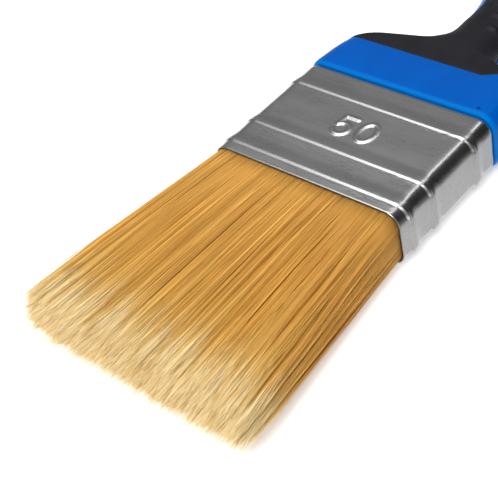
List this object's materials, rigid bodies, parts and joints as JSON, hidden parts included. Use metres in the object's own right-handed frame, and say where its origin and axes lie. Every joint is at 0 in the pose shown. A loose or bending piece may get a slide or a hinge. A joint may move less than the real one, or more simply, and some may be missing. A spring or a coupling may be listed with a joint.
{
  "type": "flat paintbrush",
  "caption": "Flat brush with golden synthetic filaments, a beaded steel ferrule and a blue plastic handle with black soft grip panels.",
  "frame": {"origin": "under the middle of the brush, on the plane that it rests on when laid on its rear face", "axes": "+Z out of the front face, up when the brush is laid down; +Y along the brush from the filament tips to the hanging hole; +X across its width"},
  "size_m": [0.061, 0.24, 0.0148],
  "materials": {
    "ferrule_steel": "rolled stainless strip, fine grain across the faces, bright along the beads",
    "filament": "golden synthetic filament, satin, with pale flagged tips",
    "spacer_strip": "plain strip, not seen in use",
    "set_resin": "cast adhesive, not seen in use",
    "blue_plastic": "hard moulded plastic, low gloss",
    "black_soft_grip": "soft-touch elastomer, matt"
  },
  "bodies": {
    "root": {"ferrule": "ferrule_steel", "front_filament_bank": "filament", "middle_filament_bank": "filament", "rear_filament_bank": "filament", "front_spacer": "spacer_strip", "rear_spacer": "spacer_strip", "resin_set": "set_resin", "handle_core": "blue_plastic", "front_grip": "black_soft_grip", "rear_grip": "black_soft_grip"}
  },
  "joints": []
}
